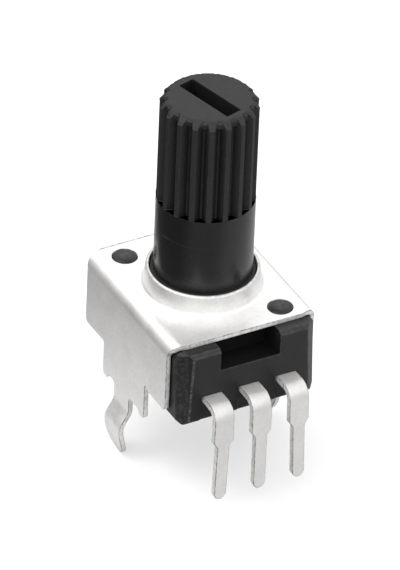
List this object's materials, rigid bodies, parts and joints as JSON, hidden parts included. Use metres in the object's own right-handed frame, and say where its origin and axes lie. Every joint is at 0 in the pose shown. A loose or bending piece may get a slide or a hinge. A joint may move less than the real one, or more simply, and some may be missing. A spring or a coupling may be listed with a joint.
{
  "type": "rotary potentiometer",
  "caption": "Upright board-mounted rotary potentiometer with a serrated, slotted plastic shaft, a steel cover with snap-in legs and a row of solder pins.",
  "frame": {"origin": "on the shaft axis, level with the face of the circuit board that the cover's shoulders rest on", "axes": "+Z along the shaft away from the board, -Y towards the row of terminals, +X to the right seen from the terminals"},
  "size_m": [0.0112, 0.0137, 0.0246],
  "materials": {
    "tinned_steel": "satin tin plate",
    "housing_black": "fine matt moulding",
    "shaft_black": "semi-matt moulding",
    "spring_alloy": "bright rolled strip",
    "paper_resin": "satin laminate",
    "carbon_print": "matt print",
    "silver_print": "matt print",
    "tinned_strip": "satin tin plate",
    "rivet_brass": "drawn"
  },
  "bodies": {
    "body": {"cover": "tinned_steel", "housing": "housing_black", "base_plate": "housing_black", "element_board": "paper_resin", "resistive_track": "carbon_print", "collector_ring": "silver_print", "left_electrode": "silver_print", "right_electrode": "silver_print", "left_terminal": "tinned_strip", "wiper_terminal": "tinned_strip", "right_terminal": "tinned_strip", "left_rivet": "rivet_brass", "wiper_rivet": "rivet_brass", "right_rivet": "rivet_brass"},
    "rotor": {"shaft": "shaft_black", "wiper": "spring_alloy"}
  },
  "joints": [
    {"name": "shaft_turn", "type": "hinge", "parent": "body", "child": "rotor", "pos_m": [0, 0, 0.011], "axis": [0, 0, 1], "range_deg": [-155, 125]}
  ]
}
